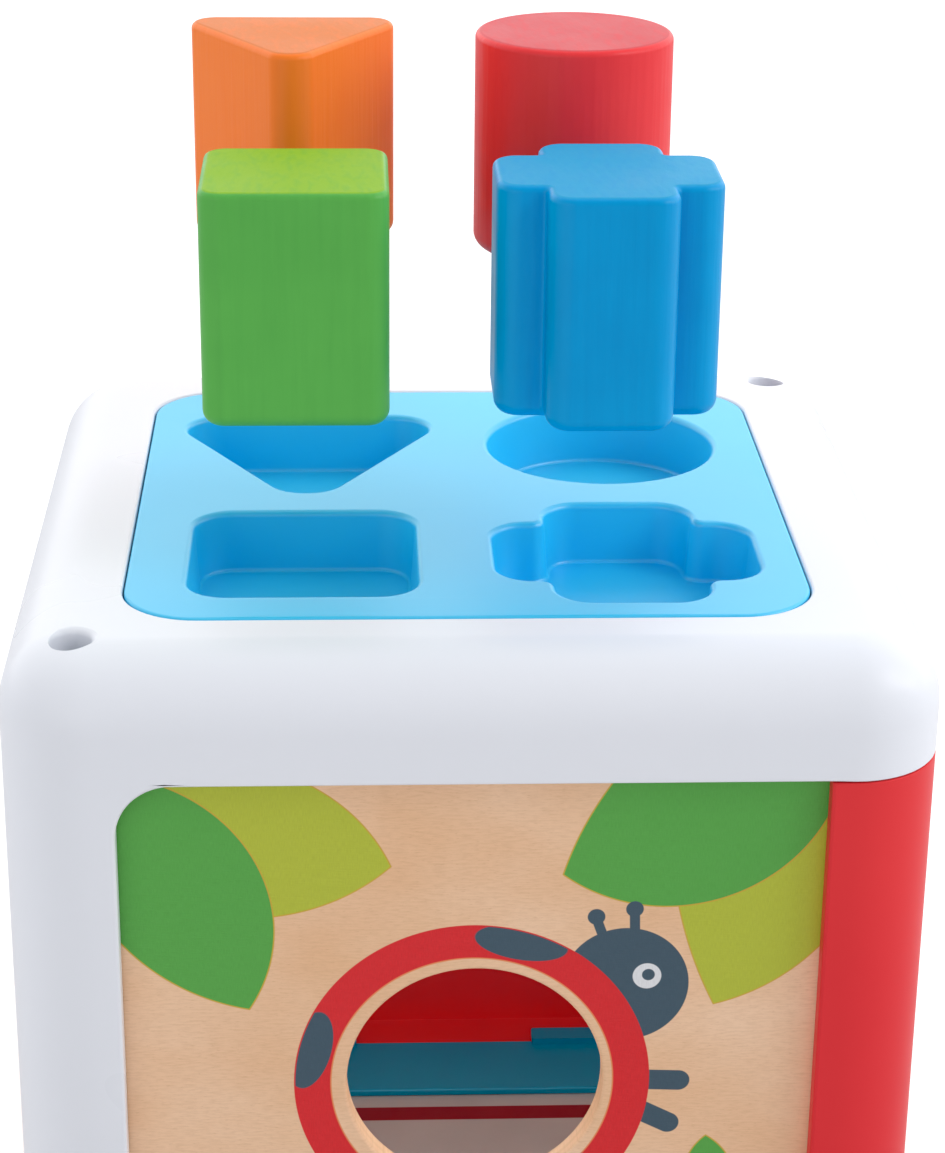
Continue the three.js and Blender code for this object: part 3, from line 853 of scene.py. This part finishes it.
def depth_in_board(g, quarter_turns):
    """The distance in from the printed face, in millimetres."""
    axes = g.add("ShaderNodeSeparateXYZ", {0: g.add("ShaderNodeTexCoord").outputs["Object"]}).outputs
    through = g.math("ABSOLUTE", axes[(quarter_turns + 1) % 2])
    return g.math("SUBTRACT", PANEL_FACE, g.math("MULTIPLY", through, 1 / MM))


def streaks(g, flat, scale, stretch, detail):
    """Noise drawn out along the width of a board."""
    where = g.add("ShaderNodeMapping", {"Vector": flat, "Scale": (1 / stretch, 1, 1)}).outputs[0]
    return g.noise(scale, detail, where)


def birch(g, broad, fine, flecks, depth):
    """The colour of the bare wood: cloudy and streaked on its face, banded by its plies in the hole."""
    wood = g.mix(g.span(broad, 0.3, 0.7), rgb(236, 190, 150), rgb(246, 209, 177))
    wood = g.mix(g.span(fine, 0.42, 0.75, 0.0, 0.34), wood, rgb(208, 164, 124))
    wood = g.mix(g.span(flecks, 0.6, 0.75, 0.0, 0.3), wood, rgb(192, 142, 100))
    plies = g.math("SINE", g.math("MULTIPLY", depth, 2 * math.pi / PLY_PAIR))
    share = g.math("MULTIPLY", g.span(depth, 0.3, 0.8), g.span(plies, -0.2, 0.6, 0.0, 0.35))
    return g.mix(share, wood, rgb(222, 184, 140))


def ladybird(ink, paint, x, y):
    """A plain ladybird whose round body goes round the hole."""
    body = ink.disc(x, y, BODY_RADIUS)
    head = ink.disc(33.2, -77.6, 13.8)
    feelers = ink.either(ink.stroke(28.6, -67.0, 26.6, -61.4, 1.1), ink.disc(26.6, -61.0, 1.9),
                         ink.stroke(35.0, -65.5, 34.8, -59.8, 1.1), ink.disc(34.8, -59.2, 1.9))
    feet = ink.either(ink.stroke(38.0, -101.6, 45.6, -101.9, 2.5), ink.stroke(36.6, -109.0, 43.6, -112.7, 2.5))
    paint(ink.either(head, feelers, feet), SLATE)
    paint(ink.disc(37.9, -75.6, 3.1), PALE)
    paint(ink.disc(38.2, -75.3, 1.4), SLATE)
    paint(body, LADYBIRD_RED)
    spots = ink.either(ink.oval(10.6, -67.2, 10.2, 4.1, -11), ink.oval(-34.9, -93.2, 9.8, 4.5, 76))
    paint(ink.both(spots, ink.g.math("ADD", body, RIM)), SLATE)


def plywood(name, quarter_turns, with_hole=False):
    """Birch plywood with a printed face; the leaves are on every side and the ladybird is round the hole."""
    g = Graph(name)
    ink = Print(g, quarter_turns)
    flat = g.add("ShaderNodeCombineXYZ", {0: ink.u, 1: ink.v, 2: GRAIN_SHIFT * quarter_turns}).outputs[0]
    fine = streaks(g, flat, 2.1, 6.0, 4.0)
    flecks = streaks(g, flat, 3.6, 5.0, 2.0)
    depth = depth_in_board(g, quarter_turns)
    wood = birch(g, streaks(g, flat, 0.03, 1.6, 3.0), fine, flecks, depth)
    surface = wood
    on_face = g.span(depth, 0.25, 0.05)
    threads = g.add("ShaderNodeMapping", {"Vector": flat, "Scale": (3.0, 0.25, 1)}).outputs[0]
    uneven = g.span(g.noise(2.2, 2.0, threads), 0.35, 0.7, 1.0, 0.9)
    shade = g.add("ShaderNodeCombineColor", {0: uneven, 1: uneven, 2: uneven}).outputs[0]

    def lay(distance, tone):
        nonlocal surface
        surface = g.mix(g.math("MULTIPLY", ink.ink(distance), on_face), surface, tone)

    def paint(distance, colour, rim=None):
        if rim is not None:
            lay(distance, rim)
            distance = g.math("ADD", distance, RIM)
        lay(distance, g.mix(1.0, colour, shade, "MULTIPLY"))

    paint(leaves(ink, LIGHT_LEAVES), LIGHT_LEAF, LEAF_RIM)
    paint(leaves(ink, DARK_LEAVES), DARK_LEAF, LEAF_RIM)
    if with_hole:
        x, y = HOLE.x - PRINT_SHIFT, HOLE.z - TOP
        paint(leaves(ink, SPROUT_LEAVES), DARK_LEAF, LEAF_RIM)
        ladybird(ink, paint, x, y)
        surface = g.mix(ink.ink(ink.disc(x, y, BARE_RADIUS + RIM)), surface, BODY_RIM)
        surface = g.mix(ink.ink(ink.disc(x, y, BARE_RADIUS)), surface, wood)
    gloss = g.span(g.noise(0.5, 3.0, flat), 0.3, 0.7, 0.46, 0.6)
    raised = g.bump(fine, 0.0002, 0.3)
    pits = g.bump(flecks, 0.00012, 0.3, raised)
    return g.finish(Base_Color=surface, Roughness=gloss, Normal=pits, Specular_IOR_Level=0.4)


def floor_print():
    """The floor panel's painted board with a line printed round its edge."""
    g = Graph("painted_board")
    where = g.add("ShaderNodeTexCoord").outputs["Object"]
    axes = g.add("ShaderNodeSeparateXYZ", {0: where}).outputs
    away = g.math("MAXIMUM", g.math("ABSOLUTE", axes[0]), g.math("ABSOLUTE", axes[1]))
    away = g.math("MULTIPLY", away, 1 / MM)
    line = g.math("MULTIPLY", g.span(away, 37.9, 38.1), g.span(away, 44.6, 44.4))
    base = g.mix(g.span(g.noise(30.0, 4.0), 0.3, 0.7), rgb(186, 180, 180), rgb(172, 166, 166))
    tint = g.mix(line, base, rgb(140, 30, 48))
    gloss = g.span(g.noise(70.0, 3.0), 0.3, 0.7, 0.42, 0.55)
    return g.finish(Base_Color=tint, Roughness=gloss, Normal=g.bump(g.noise(420.0, 3.0), 0.0001, 0.3))


# ---- The object ----

WHITE_PLASTIC = plastic("white_plastic", rgb(234, 237, 245), rgb(232, 235, 243), 0.28, 0.22)
RED_PLASTIC = plastic("red_plastic", rgb(230, 64, 68), rgb(224, 58, 64), 0.36, 0.12)
SKY_BLUE_PLASTIC = plastic("sky_blue_plastic", rgb(44, 200, 246), rgb(38, 194, 243), 0.38, 1.0)
DEEP_BLUE_PLASTIC = plastic("deep_blue_plastic", rgb(12, 146, 184), rgb(8, 138, 176), 0.4, 0.4)

half = half_frame()
place(turn_over(copy_of(half)), "red_frame", RED_PLASTIC, "red_plastic")
place(half, "white_frame", WHITE_PLASTIC, "white_plastic")
place(sorter_tray(), "sorter_tray", SKY_BLUE_PLASTIC, "sky_blue_plastic")
place(turn_over(base_tray()), "base_tray", DEEP_BLUE_PLASTIC, "deep_blue_plastic")
place(floor_panel(), "floor_panel", floor_print(), "painted_board")

for side, (name, with_hole) in enumerate((("front_panel", True), ("right_panel", False),
                                          ("back_panel", False), ("left_panel", False))):
    place(side_panel(side, with_hole), name, plywood(name + "_print", side, with_hole), "plywood")

# Columns: node, outline, slot, paint colour, deeper paint colour, and the top faces' colour, which is painted
# light for how the light falls on the tops
BLOCKS = [
    ("square_block", lambda d, x, y, half: square(half + d, 5 + d, x, y, 10),
     "green_paint", rgb(98, 184, 84), rgb(82, 166, 74), rgb(136, 182, 52)),
    ("cross_block", lambda d, x, y, half: cross(half + d, half - 10.5 + d, 5.5 + d, 1 - d, x, y),
     "blue_paint", rgb(0, 162, 224), rgb(0, 142, 206), rgb(40, 156, 204)),
    ("round_block", lambda d, x, y, half: circle(half + d, x, y, 72),
     "red_paint", rgb(244, 66, 70), rgb(234, 54, 60), rgb(208, 88, 94)),
    ("triangle_block", triangle_block_outline,
     "orange_paint", rgb(255, 132, 50), rgb(252, 122, 44), rgb(218, 126, 68)),
]
for name, outline, slot, colour, deep, painted_top_light in BLOCKS:
    place(block(name, outline), name, painted_wood(slot, colour, deep, painted_top_light), slot)

STEEL = steel()
FRAME_SCREW = (3.8, 1.75, 2.8)
TRAY_SCREW = (4.0, 1.2, 2.0)
for name, head_up in (("front_left", True), ("back_right", True), ("front_right", False), ("back_left", False)):
    node = "frame_screw_" + name
    place(screw(node, *FRAME_SCREW, head_up), node, STEEL, "screw_steel")
for tray, head_up in (("sorter_tray", False), ("base_tray", True)):
    for depth in ("front", "back"):
        for width in ("left", "right"):
            node = f"{tray}_screw_{depth}_{width}"
            place(screw(node, *TRAY_SCREW, head_up), node, STEEL, "screw_steel")


# ---- Floor, light and camera ----

def pale_floor():
    g = Graph("pale_floor")
    tint = g.mix(g.span(g.noise(1.5, 3.0), 0.3, 0.7), (0.62, 0.62, 0.63, 1), (0.6, 0.6, 0.61, 1))
    seen = g.add("ShaderNodeLightPath").outputs["Is Camera Ray"]
    material = g.finish(Base_Color=tint, Roughness=0.7, Emission_Color=(1, 1, 1, 1),
                        Emission_Strength=g.math("MULTIPLY", seen, 0.55))
    shape = Shape()
    reach = 30000.0
    shape.cap(shape.ring([(-reach, -reach), (reach, -reach), (reach, reach), (-reach, reach)], 0.0))
    made = shape.object("floor")
    made.data.transform(Matrix.Scale(MM, 4))
    made.data.materials.append(material)


def softbox(name, at, aim, width, height, power):
    """An area lamp that the camera doesn't see, in metres and watts."""
    light = bpy.data.lights.new(name, "AREA")
    light.shape = "RECTANGLE"
    light.size, light.size_y = width, height
    light.energy = power
    lamp = bpy.data.objects.new(name, light)
    lamp.location = at
    lamp.visible_camera = False
    lamp.rotation_euler = (Vector(aim) - Vector(at)).to_track_quat("-Z", "Y").to_euler()
    bpy.context.scene.collection.objects.link(lamp)


FRONT_GLOW, BACK_GLOW = 0.48, 1.7  # strength of the surroundings behind the camera and behind the object
SIDE_GLOW, HIGH_LOSS = 0.25, 0.35  # how much brighter they are at the sides, and dimmer above


def studio_world():
    """White surroundings, brightest behind the object and dimmest behind the camera."""
    dim_end, bright_end = -0.5, 0.75
    world = bpy.data.worlds.new("studio")
    bpy.context.scene.world = world
    world.use_nodes = True
    tree = world.node_tree
    where = tree.nodes.new("ShaderNodeTexCoord")
    axes = tree.nodes.new("ShaderNodeSeparateXYZ")
    span = tree.nodes.new("ShaderNodeMapRange")
    span.interpolation_type = "SMOOTHSTEP"
    limits = {"From Min": dim_end, "From Max": bright_end, "To Min": FRONT_GLOW, "To Max": BACK_GLOW}
    for key, limit in limits.items():
        span.inputs[key].default_value = limit
    tree.links.new(where.outputs["Generated"], axes.inputs[0])
    sideways = tree.nodes.new("ShaderNodeMath")
    sideways.operation = "ABSOLUTE"
    tree.links.new(axes.outputs[0], sideways.inputs[0])
    value = axes.outputs[1]
    for source, share in ((sideways.outputs[0], SIDE_GLOW), (axes.outputs[2], -HIGH_LOSS)):
        lean = tree.nodes.new("ShaderNodeMath")
        lean.operation = "MULTIPLY_ADD"
        lean.inputs[1].default_value = share
        tree.links.new(source, lean.inputs[0])
        tree.links.new(value, lean.inputs[2])
        value = lean.outputs[0]
    tree.links.new(value, span.inputs["Value"])
    background = tree.nodes["Background"]
    background.inputs["Color"].default_value = (1.0, 1.0, 1.0, 1.0)
    tree.links.new(span.outputs[0], background.inputs["Strength"])


CAMERA_AT = Vector((-0.0248, -0.6442, 0.4429))
YAW, PITCH, ROLL = (math.radians(a) for a in (2.509, 22.283, 0.612))  # right, down, about its axis
LENS_MM = 91.07
SENSOR_MM = 36.0
NEAREST = 0.01
BLACK_LEVEL = 0.0082


def camera_turn():
    ahead = Vector((math.sin(YAW) * math.cos(PITCH), math.cos(YAW) * math.cos(PITCH), -math.sin(PITCH)))
    level = Vector((math.cos(YAW), -math.sin(YAW), 0.0))
    upward = level.cross(ahead)
    right = level * math.cos(ROLL) + upward * math.sin(ROLL)
    up = upward * math.cos(ROLL) - level * math.sin(ROLL)
    return Matrix((right, up, -ahead)).transposed().to_4x4()


def studio_camera():
    data = bpy.data.cameras.new("camera")
    data.lens = LENS_MM
    data.sensor_width = SENSOR_MM
    data.sensor_fit = "AUTO"
    data.clip_start = NEAREST
    camera = bpy.data.objects.new("camera", data)
    camera.matrix_world = Matrix.Translation(CAMERA_AT) @ camera_turn()
    bpy.context.scene.collection.objects.link(camera)
    bpy.context.scene.camera = camera


def deepen_shadows():
    """Standard colours, with the darkest levels pulled down to black as in a printed photograph."""
    view = bpy.context.scene.view_settings
    view.view_transform = "Standard"
    view.use_curve_mapping = True
    view.curve_mapping.black_level = (BLACK_LEVEL,) * 3
    view.curve_mapping.update()


pale_floor()
softbox("key", (1.25, -0.55, 1.15), (0.0, 0.0, 0.12), 0.7, 0.7, 7.5)
softbox("side", (1.6, -0.15, 0.75), (0.0, 0.0, 0.2), 0.5, 0.4, 2.8)
softbox("fill", (-0.9, -1.3, 0.5), (0.0, 0.0, 0.12), 1.4, 1.0, 4.5)
softbox("overhead", (0.0, 0.25, 1.5), (0.0, 0.0, 0.2), 1.2, 1.2, 2.9)
softbox("inside", (0.0, -0.06, 0.148), (0.0, 0.08, 0.0), 0.08, 0.04, 0.1)
studio_world()
studio_camera()
deepen_shadows()
